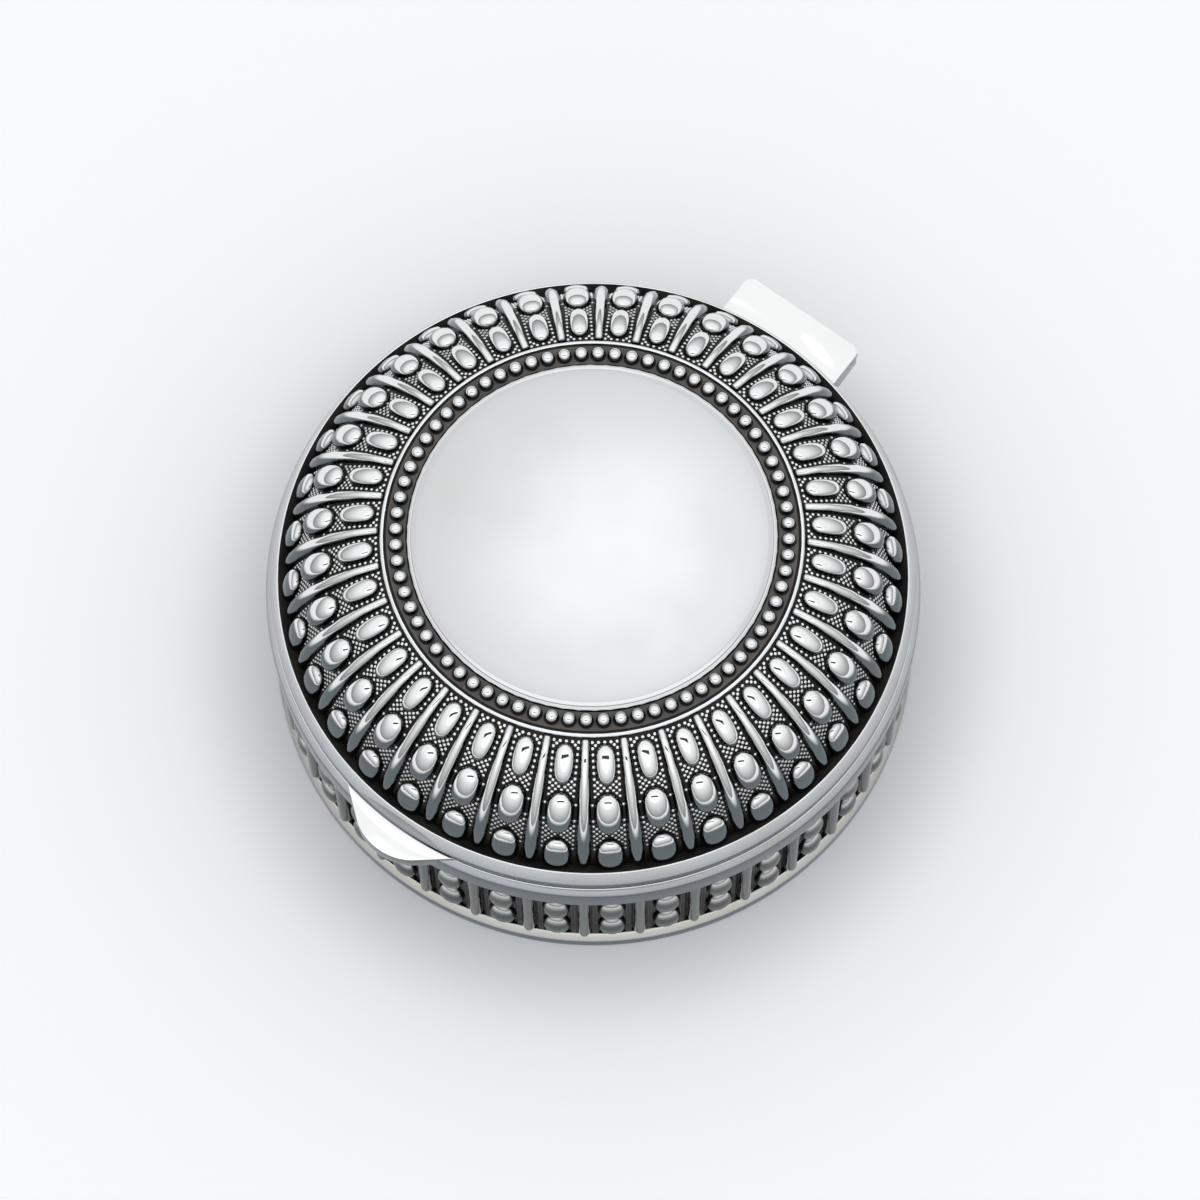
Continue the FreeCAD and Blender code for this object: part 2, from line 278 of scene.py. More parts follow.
def turned(name: str, section: Section, steps: int = 180, closed: bool = True) -> Piece:
    """Turns a section round the box's axis, as on a lathe.

    Args:
        name: The piece's name.
        section: Radius and height of each point, in millimetres.
        steps: Steps of the full turn.
        closed: Whether the section is a loop. An open one starts and ends on the axis.

    Returns:
        The piece.
    """
    deselect()
    radius, height = section[0]
    bpy.ops.mesh.primitive_plane_add(size=MM, location=(radius * MM, 0, height * MM))
    piece = named(name)
    path = [*section, section[0]] if closed else list(section)
    with editing(piece):
        bpy.ops.mesh.merge(type="COLLAPSE")
        for (radius, height), (next_radius, next_height) in zip(path, path[1:]):
            step = ((next_radius - radius) * MM, 0, (next_height - height) * MM)
            bpy.ops.mesh.extrude_region_move(TRANSFORM_OT_translate={"value": step})
        bpy.ops.mesh.select_all(action="SELECT")
        bpy.ops.mesh.spin(steps=steps, angle=2 * math.pi, center=(0, 0, 0), axis=(0, 0, 1))
        bpy.ops.mesh.select_all(action="SELECT")
        bpy.ops.mesh.remove_doubles(threshold=TOUCH)
        bpy.ops.mesh.normals_make_consistent(inside=False)
    smooth(piece)
    return piece


def repeated(piece: Piece, count: int) -> None:
    """Repeats a piece's mesh evenly round the box's axis.

    Args:
        piece: The piece, which holds one repeat.
        count: Repeats in the full turn.
    """
    with editing(piece):
        bpy.ops.mesh.spin(
            steps=count - 1,
            dupli=True,
            angle=2 * math.pi * (count - 1) / count,
            center=(0, 0, 0),
            axis=(0, 0, 1),
        )


def finished(piece: Piece, body: Body, slot: Slot, *nodes: str) -> Piece:
    """Puts a piece on its body, in place of CAD nodes.

    Args:
        piece: The piece.
        body: The body that it moves with.
        slot: The record's material slot; not used.
        nodes: The CAD nodes that it stands for.

    Returns:
        The piece.
    """
    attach(piece, body.value)
    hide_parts(*nodes)
    log.info("%s: %d faces, rides on %s", piece.name, len(piece.data.polygons), body.value)
    return piece


def dressed(piece: Piece, *finishes: "Finish") -> Piece:
    """Gives a piece its finishes, in the order of its slots.

    Args:
        piece: The piece.
        finishes: The finishes.

    Returns:
        The piece.
    """
    piece.data.materials.clear()
    for finish in finishes:
        piece.data.materials.append(finish.material())
    return piece


def set_lift(piece: Piece, heights: Sequence[float]) -> None:
    """Stores how far each point stands above the ground, from which the relief's finish takes its patina and
    painted shade.

    Args:
        piece: The piece.
        heights: Height of each point in millimetres.
    """
    layer = piece.data.attributes.new("lift", "FLOAT", "POINT")
    layer.data.foreach_set("value", heights)


# Finishes


@dataclass(frozen=True)
class Finish:
    """A finish, whose material is made once and shared."""

    name: str

    def material(self) -> bpy.types.Material:
        """Makes the material at its first use.

        Returns:
            The material.
        """
        found = bpy.data.materials.get(self.name)
        if found:
            return found
        made = bpy.data.materials.new(self.name)
        made.use_nodes = True
        tree = made.node_tree
        plug(tree, tree.nodes["Principled BSDF"], self.dress(tree))
        return made

    def dress(self, tree: Tree) -> Values:
        """Adds this finish's nodes to a new material.

        Args:
            tree: The material's nodes.

        Returns:
            Value or source of the shader's inputs.
        """
        raise NotImplementedError


@dataclass(frozen=True)
class Silver(Finish):
    """Silver plate, with a painted shade on steep faces, where the side colour is multiplied in."""

    # The side colour is a painted shade, multiplied in on steep faces.
    side: str = "#6a7275"
    steep_shade_start: float = 0.5
    steep_shade_end: float = 0.6

    def steep_shaded(self, tree: Tree, shade: Socket) -> Socket:
        """Lays a painted shade, the side colour multiplied in, over a colour where a face is steep.

        Args:
            tree: The material's nodes.
            shade: The colour of the bright faces.

        Returns:
            The colour with the painted shade.
        """
        # Painted shade: the less a face looks up, the more of the side colour is multiplied in.
        facing = add_node(tree, "ShaderNodeTexCoord", "Normal")
        upward = add_node(tree, "ShaderNodeSeparateXYZ", "Z", {"Vector": facing})
        bright = add_node(
            tree, "ShaderNodeMapRange", "Result",
            {"Value": upward, "From Min": self.steep_shade_start, "From Max": self.steep_shade_end},
            interpolation_type="SMOOTHSTEP",
        )
        painted_shade = add_node(
            tree, "ShaderNodeMixRGB", "Color", {"Fac": 1.0, "Color1": shade, "Color2": linear(self.side)},
            blend_type="MULTIPLY",
        )
        return add_node(tree, "ShaderNodeMixRGB", "Color", {"Fac": bright, "Color1": painted_shade, "Color2": shade})


@dataclass(frozen=True)
class PolishedSilver(Silver):
    """Silver plate, buffed to a mirror: clear reflections, a faint warm bloom and hairline scratches."""

    colour: str = "#d3d3d1"
    bloom: str = "#c4bfb2"
    bloom_size: float = 14.0
    bloom_range: Pair = (0.45, 0.8)
    bloom_share: float = 0.8
    roughness: float = 0.08
    haze_range: Pair = (0.3, 0.75)
    haze_shares: Pair = (0.75, 1.5)
    scratch_size: float = 0.3
    scratch_depth: float = 0.002
    scratch_strength: float = 0.25
    # Height and reach of each band of painted shade round a seam, in millimetres.
    shaded_seams: tuple[Pair, ...] = ()
    seam_shade_share: float = 0.45

    def dress(self, tree: Tree) -> Values:
        """Adds the bloom, the scratches and a painted shade in a band round each seam.

        Args:
            tree: The material's nodes.

        Returns:
            Value or source of the shader's inputs.
        """
        place = add_node(tree, "ShaderNodeTexCoord", "Object")
        cloud = add_node(
            tree, "ShaderNodeTexNoise", "Fac",
            {"Vector": place, "Scale": 1 / (self.bloom_size * MM), "Detail": 3.0, "Roughness": 0.55},
        )
        low, high = self.bloom_range
        spread = add_node(
            tree, "ShaderNodeMapRange", "Result",
            {"Value": cloud, "From Min": low, "From Max": high, "To Max": self.bloom_share},
        )
        shade = add_node(
            tree, "ShaderNodeMixRGB", "Color",
            {"Fac": spread, "Color1": linear(self.colour), "Color2": linear(self.bloom)},
        )
        height = add_node(tree, "ShaderNodeSeparateXYZ", "Z", {"Vector": place})
        # Painted shade: darker the nearer a point lies to each seam's height.
        for level, reach in self.shaded_seams:
            above = add_node(tree, "ShaderNodeMath", "Value", {0: height, 1: level * MM}, operation="SUBTRACT")
            away = add_node(tree, "ShaderNodeMath", "Value", {0: above}, operation="ABSOLUTE")
            painted_shade = add_node(
                tree, "ShaderNodeMapRange", "Result",
                {"Value": away, "From Max": reach * MM, "To Min": self.seam_shade_share},
                interpolation_type="SMOOTHSTEP",
            )
            shade = add_node(
                tree, "ShaderNodeMixRGB", "Color",
                {"Fac": 1.0, "Color1": shade, "Color2": painted_shade},
                blend_type="MULTIPLY",
            )
        scratch = add_node(
            tree, "ShaderNodeTexNoise", "Fac",
            {"Vector": place, "Scale": 1 / (self.scratch_size * MM), "Detail": 2.0, "Distortion": 1.5},
        )
        bump = add_node(
            tree, "ShaderNodeBump", "Normal",
            {"Height": scratch, "Strength": self.scratch_strength, "Distance": self.scratch_depth * MM},
        )
        low, high = self.haze_range
        clear, dull = self.haze_shares
        haze = add_node(
            tree, "ShaderNodeMapRange", "Result",
            {"Value": cloud, "From Min": low, "From Max": high,
             "To Min": self.roughness * clear, "To Max": self.roughness * dull},
        )
        return {"Base Color": self.steep_shaded(tree, shade), "Normal": bump, "Roughness": haze, "Metallic": 1.0}


@dataclass(frozen=True)
class ReliefSilver(Silver):
    """Polished relief on an oxidised ground: bright crowns, a painted shade on the sides, warm tarnish lower down
    and black feet.
    """

    colour: str = "#ececeb"
    # The flank colour is a painted shade on the relief's sides; tarnish and black are patina in the hollows.
    flank: str = "#777c7d"
    tarnish: str = "#5c5446"
    black: str = "#0e0d0b"
    stops: tuple[float, ...] = (0.0, 0.16, 0.4, 0.85)
    roughness: float = 0.045
    foot_roughness: float = 0.35
    foot: float = 0.02
    rise: float = 0.92
    patch_size: float = 1.6
    patch_range: Pair = (0.25, 0.75)
    patch_lift: float = 0.12

    def dress(self, tree: Tree) -> Values:
        """Adds the colours by height above the ground, broken up by small patches: patina at the foot, a painted
        shade on the sides.

        Args:
            tree: The material's nodes.

        Returns:
            Value or source of the shader's inputs.
        """
        place = add_node(tree, "ShaderNodeTexCoord", "Object")
        lift = add_node(tree, "ShaderNodeAttribute", "Fac", attribute_name="lift")
        patch = add_node(
            tree, "ShaderNodeTexNoise", "Fac",
            {"Vector": place, "Scale": 1 / (self.patch_size * MM), "Detail": 3.0, "Roughness": 0.6},
        )
        low, high = self.patch_range
        uneven = add_node(
            tree, "ShaderNodeMapRange", "Result",
            {"Value": patch, "From Min": low, "From Max": high,
             "To Min": -self.patch_lift, "To Max": self.patch_lift},
        )
        level = add_node(tree, "ShaderNodeMath", "Value", {0: lift, 1: uneven}, operation="ADD")
        share = add_node(
            tree, "ShaderNodeMapRange", "Result",
            {"Value": level, "From Min": self.foot, "From Max": self.rise},
        )
        # Black and tarnish patina at the foot, a painted shade on the sides, the crown's own colour on top.
        tones = (self.black, self.tarnish, self.flank, self.colour)
        shade = add_node(tree, "ShaderNodeValToRGB", "Color", {"Fac": share}, list(zip(self.stops, tones)))
        rough = add_node(
            tree, "ShaderNodeMapRange", "Result",
            {"Value": share, "To Min": self.foot_roughness, "To Max": self.roughness},
        )
        return {"Base Color": self.steep_shaded(tree, shade), "Roughness": rough, "Metallic": 1.0}


@dataclass(frozen=True)
class OxidisedSilver(Finish):
    """Silver blackened in the hollows: near black and half matt, with brown bloom."""

    colour: str = "#151413"
    bloom: str = "#2c271f"
    bloom_size: float = 3.0
    stops: Pair = (0.4, 0.75)
    roughness: float = 0.42
    gloss: float = 0.2
    grain: float = 0.12
    grain_depth: float = 0.02
    grain_strength: float = 0.4

    def dress(self, tree: Tree) -> Values:
        """Adds the brown bloom and the fine grain.

        Args:
            tree: The material's nodes.

        Returns:
            Value or source of the shader's inputs.
        """
        place = add_node(tree, "ShaderNodeTexCoord", "Object")
        cloud = add_node(
            tree, "ShaderNodeTexNoise", "Fac",
            {"Vector": place, "Scale": 1 / (self.bloom_size * MM), "Detail": 4.0, "Roughness": 0.6},
        )
        tones = (self.colour, self.bloom)
        shade = add_node(tree, "ShaderNodeValToRGB", "Color", {"Fac": cloud}, list(zip(self.stops, tones)))
        grain = add_node(
            tree, "ShaderNodeTexNoise", "Fac",
            {"Vector": place, "Scale": 1 / (self.grain * MM), "Detail": 1.0},
        )
        bump = add_node(
            tree, "ShaderNodeBump", "Normal",
            {"Height": grain, "Strength": self.grain_strength, "Distance": self.grain_depth * MM},
        )
        return {
            "Base Color": shade,
            "Normal": bump,
            "Specular IOR Level": self.gloss,
            "Roughness": self.roughness,
        }


@dataclass(frozen=True)
class Pile(Finish):
    """Cut or felted fibre: dark and soft, with a pale sheen at a slant and small uneven tufts."""

    colour: str = "#10142b"
    tip: str = "#232a52"
    stops: Pair = (0.12, 0.5)
    fibre: float = 0.25
    fibre_depth: float = 0.1
    fibre_strength: float = 0.5
    crush_size: float = 9.0
    roughness: float = 0.9
    sheen: float = 0.6
    sheen_roughness: float = 0.4

    def dress(self, tree: Tree) -> Values:
        """Adds the tufts, the crushed patches and the sheen.

        Args:
            tree: The material's nodes.

        Returns:
            Value or source of the shader's inputs.
        """
        place = add_node(tree, "ShaderNodeTexCoord", "Object")
        tuft, crush = (
            add_node(
                tree, "ShaderNodeTexNoise", "Fac",
                {"Vector": place, "Scale": 1 / (size * MM), "Detail": detail},
            )
            for size, detail in ((self.fibre, 2.0), (self.crush_size, 3.0))
        )
        both = add_node(tree, "ShaderNodeMath", "Value", {0: tuft, 1: crush}, operation="MULTIPLY")
        tones = (self.colour, self.tip)
        shade = add_node(tree, "ShaderNodeValToRGB", "Color", {"Fac": both}, list(zip(self.stops, tones)))
        bump = add_node(
            tree, "ShaderNodeBump", "Normal",
            {"Height": tuft, "Strength": self.fibre_strength, "Distance": self.fibre_depth * MM},
        )
        return {
            "Base Color": shade,
            "Normal": bump,
            "Roughness": self.roughness,
            "Sheen Weight": self.sheen,
            "Sheen Roughness": self.sheen_roughness,
            "Sheen Tint": linear(self.tip),
        }


@dataclass(frozen=True)
class GreyCard(Finish):
    """Pressed grey card: dull and flecked with fibres."""

    colour: str = "#8d867a"
    fleck: str = "#6c665c"
    fleck_size: float = 0.8
    stops: Pair = (0.35, 0.6)
    roughness: float = 0.85

    def dress(self, tree: Tree) -> Values:
        """Adds the flecks.

        Args:
            tree: The material's nodes.

        Returns:
            Value or source of the shader's inputs.
        """
        place = add_node(tree, "ShaderNodeTexCoord", "Object")
        flecks = add_node(
            tree, "ShaderNodeTexNoise", "Fac",
            {"Vector": place, "Scale": 1 / (self.fleck_size * MM), "Detail": 4.0},
        )
        tones = (self.fleck, self.colour)
        shade = add_node(tree, "ShaderNodeValToRGB", "Color", {"Fac": flecks}, list(zip(self.stops, tones)))
        return {"Base Color": shade, "Roughness": self.roughness}


@dataclass(frozen=True)
class FloorPaper(Finish):
    """Plain pale paper, dull, with a painted shadow: softly greyer round the foot of the box."""

    # The near colour is a painted shadow round the box's foot.
    near: str = "#eef0f1"
    far: str = "#ffffff"
    edges: Pair = (52.0, 68.0)
    roughness: float = 0.9

    def dress(self, tree: Tree) -> Values:
        """Adds the painted shadow, a greyer middle round the box's foot.

        Args:
            tree: The material's nodes.

        Returns:
            Value or source of the shader's inputs.
        """
        place = add_node(tree, "ShaderNodeTexCoord", "Object")
        away = add_node(tree, "ShaderNodeVectorMath", "Value", {0: place}, operation="LENGTH")
        start, end = self.edges
        share = add_node(
            tree, "ShaderNodeMapRange", "Result", {"Value": away, "From Min": start * MM, "From Max": end * MM},
            interpolation_type="SMOOTHSTEP",
        )
        tones = ((0.0, self.near), (1.0, self.far))
        shade = add_node(tree, "ShaderNodeValToRGB", "Color", {"Fac": share}, tones)
        return {"Base Color": shade, "Roughness": self.roughness, "Specular IOR Level": 0.0}


# Copies of the silver plate. Each side colour is a painted shade on steep faces, and each seam band a painted
# shade round that seam; the polished copies' colours also differ part by part, partly as painted light and shade.
RIM_SILVER = PolishedSilver(
    "rim_silver_plate", colour="#e4e6e7", bloom="#d3d0c6", side="#6c7580", steep_shade_start=0.1, steep_shade_end=0.7,
    shaded_seams=((27.1, 1.3),), seam_shade_share=0.2)
BODY_RIM_SILVER = PolishedSilver(
    "body_rim_silver_plate", colour="#d2d5d8", side="#6a727c", steep_shade_start=0.15, steep_shade_end=0.85,
    shaded_seams=((21.4, 2.0),))
BASE_SILVER = PolishedSilver(
    "base_silver_plate", colour="#c6c6c2", side="#8492ad", steep_shade_start=0.1, shaded_seams=((0.0, 1.2),))
BRIGHT_SILVER = PolishedSilver(
    "bright_silver_plate", colour="#f4f4f2", bloom="#e8e6e0", roughness=0.06, steep_shade_start=0.1, steep_shade_end=0.5)
DISC_SILVER = PolishedSilver(
    "disc_silver_plate", colour="#cfd0d0", bloom="#c8c8c5", roughness=0.1, bloom_size=30.0)
RELIEF_SILVER = ReliefSilver("relief_silver_plate")
# The beads' flank colour, a painted shade, reaches higher up their sides.
BEAD_SILVER = ReliefSilver("bead_silver_plate", flank="#6b6f70", rise=1.45)
WALL_SILVER = ReliefSilver(
    "wall_silver_plate", colour="#d6d8d5", side="#6f7675", steep_shade_start=0.15, steep_shade_end=0.75, roughness=0.06)
GROUND = OxidisedSilver("oxidised_silver_ground")
WALL_GROUND = OxidisedSilver("oxidised_silver_wall_ground", colour="#0a0a0a", bloom="#181612")
GROOVE = OxidisedSilver("oxidised_silver_groove", colour="#232322", bloom="#3d3a36", bloom_size=5.0)
CHANNEL = OxidisedSilver("oxidised_silver_channel", colour="#565452", bloom="#6b665e", bloom_size=6.0)
# Here the side colour darkens only faces that look down, a painted shade under them.
INSIDE_SILVER = PolishedSilver(
    "inside_silver_plate", colour="#b9b9b6", bloom="#a39f93", roughness=0.22, steep_shade_start=-1.0, steep_shade_end=-0.9)
HINGE_SILVER = PolishedSilver(
    "hinge_silver_plate", colour="#cfcfcc", bloom="#b3aea0", roughness=0.14, side="#b0b5ba")
STEEL = PolishedSilver("drawn_steel_wire", colour="#a9abad", bloom="#8f9092", roughness=0.25)
VELVET = Pile("dark_blue_velvet")
FELT = Pile("black_felt", colour="#0d0d10", tip="#2a2a2e", sheen=0.3)
CARD = GreyCard("grey_card")
FLOOR_PAPER = FloorPaper("floor_paper")


# Sub-assemblies


@dataclass(frozen=True)
class Oval:
    """One oval boss: its place along the ground, its size, how it widens along it and how square it is."""

    place: float
    length: float
    width: float
    height: float
    taper: float = 0.0
    fullness: float = 0.2


@dataclass(frozen=True)
class Rib:
    """One section of a rib: its place along the ground, its width and its height."""

    place: float
    width: float
    height: float


@dataclass
class Embossed:
    """A stamped sheet whose ornament repeats in columns: ovals, ribs between them and a stippled ground."""

    ovals: tuple[Oval, ...]
    rib: tuple[Rib, ...]
    dots_start: float
    dots_end: float
    sheet: float = 0.9
    sink: float = 0.2
    dot_pitch: float = 0.93
    dot_diameter: float = 0.6
    dot_height: float = 0.16
    dot_root: float = 0.04
    dot_margin: float = -0.14
    dot_shine: float = 1.0
    dots_across: int = 5
    relief_finish: Finish = RELIEF_SILVER

    def ground(self, place: float) -> tuple[Vector, float]:
        """Finds the ground in the column at angle 0.

        Args:
            place: Distance along the ground, in millimetres.

        Returns:
            The point there, in millimetres, and the slope of its normal from upright.
        """
        raise NotImplementedError

    def lift(self, point: Vector) -> float:
        """Height of a point above the ground, both in millimetres."""
        raise NotImplementedError

    def normal(self, place: float) -> Vector:
        """Direction straight off the ground in the column at angle 0."""
        slope = self.ground(place)[1]
        return Vector((math.sin(slope), 0, math.cos(slope)))

    def trim(self, place: float, fill: bool) -> None:
        """Cuts away what lies deeper than the sink under the ground, in edit mode.

        Args:
            place: Distance along the ground, in millimetres.
            fill: Whether the cut is closed by a face.
        """
        normal = self.normal(place)
        cut = self.ground(place)[0] - normal * self.sink
        bpy.ops.mesh.bisect(plane_co=cut * MM, plane_no=normal, use_fill=fill, clear_inner=True)

    def boss(self, oval: Oval) -> Piece:
        """Shapes one oval boss from a sphere whose poles lie at its ends.

        Args:
            oval: Its place and size.

        Returns:
            The boss, in the column at angle 0.
        """
        spot, slope = self.ground(oval.place)
        deselect()
        bpy.ops.mesh.primitive_uv_sphere_add(
            segments=24, ring_count=14, radius=1.0, location=spot * MM, rotation=(0, math.pi / 2 + slope, 0))
        piece = bpy.context.object
        applied(piece, "CAST", cast_type="CUBOID", factor=oval.fullness)
        applied(piece, "SIMPLE_DEFORM", deform_method="TAPER", deform_axis="Z", factor=oval.taper)
        piece = named("oval_boss", (oval.height * MM, oval.width / 2 * MM, oval.length / 2 * MM))
        with editing(piece):
            self.trim(oval.place, fill=True)
        return piece

    def bar(self) -> Piece:
        """Draws a rib out along the ground from a half-round section, between two columns.

        Returns:
            The rib.
        """
        first = self.rib[0]
        spot, slope = self.ground(first.place)
        deselect()
        bpy.ops.mesh.primitive_circle_add(
            vertices=20, radius=MM, fill_type="NGON", location=spot * MM, rotation=(0, math.pi / 2 + slope, 0))
        piece = named("rib_bar", (first.height, first.width / 2, 1))
        with editing(piece):
            self.trim(first.place, fill=False)
            bpy.ops.mesh.select_all(action="SELECT")
            for before, here in zip(self.rib, self.rib[1:]):
                next_spot, next_slope = self.ground(here.place)
                bpy.ops.mesh.extrude_region_move(TRANSFORM_OT_translate={"value": (next_spot - spot) * MM})
                bpy.ops.transform.rotate(
                    value=slope - next_slope, orient_axis="Y", center_override=next_spot * MM)
                tall = here.height / before.height
                bpy.ops.transform.resize(
                    value=(tall, here.width / before.width, tall), center_override=next_spot * MM)
                spot, slope = next_spot, next_slope
            bpy.ops.mesh.select_all(action="SELECT")
            bpy.ops.transform.rotate(value=PITCH / 2, orient_axis="Z", center_override=(0, 0, 0))
            bpy.ops.mesh.normals_make_consistent(inside=False)
        return piece

    def is_bare(self, place: float, side: float) -> bool:
        """Whether a dot fits on the ground of a column.

        Args:
            place: Distance along the ground, in millimetres.
            side: Distance from the column's middle.

        Returns:
            Whether neither an oval nor a rib is there.
        """
        room = self.dot_diameter / 2 + self.dot_margin
        for oval in self.ovals:
            off = (place - oval.place) / (oval.length / 2 + room)
            across = side / (oval.width / 2 * (1 + oval.taper * (place - oval.place) / oval.length) + room)
            if off ** 2 + across ** 2 < 1:
                return False
        near = [max(a.width, b.width) for a, b in zip(self.rib, self.rib[1:]) if a.place <= place <= b.place]
        edge = self.ground(place)[0].x * math.sin(PITCH / 2) - max(near, default=0) / 2 - room
        return abs(side) < edge

    def dot_places(self) -> Iterator[Pair]:
        """Gives the place and side of each dot of a column, in staggered rows.

        Returns:
            Distance along the ground and across the column of each dot, in millimetres.
        """
        rows = int((self.dots_end - self.dots_start) / (self.dot_pitch / 2)) + 1
        for row in range(rows):
            place = self.dots_start + row * self.dot_pitch / 2
            for step in range(-self.dots_across, self.dots_across + 1):
                side = (step + 0.5 * (row % 2)) * self.dot_pitch
                if self.is_bare(place, side):
                    yield place, side

    def dots(self) -> Piece:
        """Sets the column's dots, each a low cone that smooth shading makes round.

        Returns:
            The dots as one piece.
        """
        deselect()
        piece = None
        for place, side in self.dot_places():
            spot, slope = self.ground(place)
            angle = math.asin(side / spot.x)
            spot = spot + self.normal(place) * (self.dot_height - self.dot_root) / 2
            bpy.ops.mesh.primitive_cone_add(
                vertices=6, radius1=self.dot_diameter / 2 * MM, radius2=0,
                depth=(self.dot_height + self.dot_root) * MM,
                location=Vector((spot.x * math.cos(angle), spot.x * math.sin(angle), spot.z)) * MM,
                rotation=(0, slope, angle))
            if piece is None:
                piece = named("stippled_dots")
                bpy.ops.object.mode_set(mode="EDIT")
        bpy.ops.object.mode_set(mode="OBJECT")
        return piece

    def ornament(self) -> Piece:
        """Builds one column's ornament and repeats it round the box.

        Returns:
            The ornament.
        """
        reliefs = [self.boss(oval) for oval in self.ovals] + [self.bar()]
        for relief in reliefs:
            set_lift(relief, [self.lift(v.co / MM) for v in relief.data.vertices])
        dots = self.dots()
        set_lift(dots, [self.dot_shine] * len(dots.data.vertices))
        column = joined("ornament", [*reliefs, dots])
        repeated(column, COLUMNS)
        smooth(column, angle=60.0)
        return dressed(column, self.relief_finish)


@dataclass
class Dome(Embossed):
    """The embossed dome of the lid, arched between its flat top and its rim."""

    ovals: tuple[Oval, ...] = (
        Oval(4.05, 6.4, 3.25, 1.3, -0.08, 0.15),
        Oval(11.75, 6.85, 4.4, 1.7, 0.05, 0.1),
        Oval(20.0, 6.9, 4.5, 1.4, 0.08, 0.2),
    )
    rib: tuple[Rib, ...] = (
        Rib(0.15, 0.95, 0.5), Rib(0.35, 1.35, 0.8), Rib(4.0, 1.6, 0.95), Rib(8.0, 1.85, 1.05),
        Rib(12.0, 2.15, 1.15), Rib(15.5, 2.4, 1.2), Rib(18.5, 2.45, 1.2), Rib(20.6, 2.3, 1.15),
        Rib(21.8, 1.85, 1.0), Rib(22.35, 1.2, 0.7), Rib(22.55, 0.5, 0.35),
    )
    dots_start: float = 0.6
    dots_end: float = 20.6
    inner: Pair = (32.2, 45.9)
    outer: Pair = (46.9, 30.1)
    bulge: float = 2.85
    top: float = 46.1
    seat_radius: float = 26.48
    moulding: float = 31.5
    moulding_height: float = 0.25
    moulding_lean: float = 0.1
    moulding_gap: float = 0.05
    foot: float = 29.52
    arch_steps: int = 20

    def __post_init__(self) -> None:
        """Works out the arch's centre, radius and first slope."""
        start, end = Vector(self.inner), Vector(self.outer)
        half_chord = (end - start).length / 2
        along = (end - start).normalized()
        self.radius = (half_chord ** 2 + self.bulge ** 2) / (2 * self.bulge)
        self.centre = (start + end) / 2 - Vector((-along.y, along.x)) * (self.radius - self.bulge)
        self.first_slope = math.asin((start.x - self.centre.x) / self.radius)
        self.length = (math.asin((end.x - self.centre.x) / self.radius) - self.first_slope) * self.radius

    def ground(self, place: float) -> tuple[Vector, float]:
        """Finds the arch's point and slope at a distance from its upper edge.

        Args:
            place: That distance, in millimetres.

        Returns:
            The point, in millimetres, and the slope of its normal from upright.
        """
        slope = self.first_slope + place / self.radius
        across = self.centre.x + self.radius * math.sin(slope)
        height = self.centre.y + self.radius * math.cos(slope)
        return Vector((across, 0, height)), slope

    def lift(self, point: Vector) -> float:
        """Height of a point above the arch."""
        return math.hypot(math.hypot(point.x, point.y) - self.centre.x, point.z - self.centre.y) - self.radius

    def plain_sheet(self) -> Piece:
        """Turns the sheet that the ornament stands on, with a bright moulding at its top edge.

        Returns:
            The sheet.
        """
        places = [self.length * step / self.arch_steps for step in range(self.arch_steps + 1)]
        outside = [self.ground(place)[0] for place in places]
        inside = [self.ground(place)[0] - self.normal(place) * self.sheet for place in reversed(places)]
        edge = self.inner[0] - self.moulding_gap
        crest = self.top + self.moulding_height
        moulding = softened((
            (self.seat_radius, self.top, 0.0), (self.moulding, self.top, 0.0),
            (self.moulding + self.moulding_lean, crest, 0.1), (edge, crest, 0.25), (edge, self.inner[1], 0.0)))
        section = [*moulding, *((p.x, p.z) for p in outside)]
        section += [(self.outer[0], self.foot), (self.outer[0] - self.sheet, self.foot)]
        section += [(p.x, p.z) for p in inside]
        section += [(self.seat_radius, inside[-1].z)]
        piece = dressed(turned("lid_dome_sheet", section, COLUMNS * 6), GROUND, RIM_SILVER, INSIDE_SILVER)
        for face in piece.data.polygons:
            on_top = face.center.z / MM > self.inner[1] + 0.1
            on_moulding = self.moulding < reach_of(face.center) < self.inner[0] and on_top
            face.material_index = 1 if on_moulding else 2 * int(face.normal.z < -0.1)
        set_lift(piece, [0.0] * len(piece.data.vertices))
        return piece

    def build(self) -> None:
        """Builds the dome with all its ornament."""
        piece = joined("lid_dome_embossed", [self.plain_sheet(), self.ornament()])
        finished(piece, Body.LID, Slot.OXIDISED, "lid_dome")


